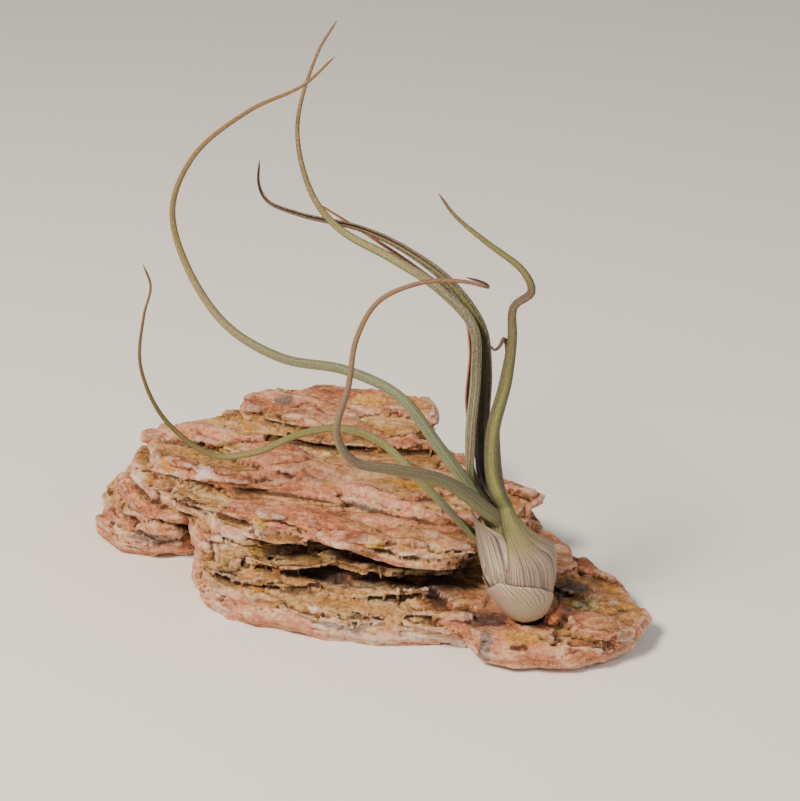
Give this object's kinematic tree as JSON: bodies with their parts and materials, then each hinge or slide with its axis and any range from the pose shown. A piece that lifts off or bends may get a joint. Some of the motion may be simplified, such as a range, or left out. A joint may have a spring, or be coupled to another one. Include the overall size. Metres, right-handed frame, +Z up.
{
  "type": "air plant on a stone",
  "caption": "Bulb-forming air plant with long curling rolled leaves, seated in a hollow at the front of a layered, rough-broken stone that lies flat.",
  "frame": {"origin": "centre of the bounding box in plan, on the plane that the stone rests on", "axes": "+Z up; -Y towards the front, where the plant sits; +X towards the viewer's right, the end with the bulb"},
  "size_m": [0.2176, 0.1534, 0.2192],
  "materials": {
    "stone": "matte",
    "green_leaf": "matte",
    "olive_leaf": "matte",
    "sheath": "matte",
    "stem": "matte",
    "dry_tissue": "matte"
  },
  "bodies": {
    "root": {"stone": "stone", "stem": "stem", "base_sheath": "sheath", "leaf_kinked": "green_leaf", "leaf_arched": "green_leaf", "leaf_tallest": "green_leaf", "leaf_low": "green_leaf", "leaf_sweeping": "green_leaf", "leaf_hooked": "green_leaf", "leaf_tendril": "olive_leaf", "leaf_thin": "olive_leaf", "dry_scale": "dry_tissue", "root_stub": "dry_tissue"}
  },
  "joints": []
}
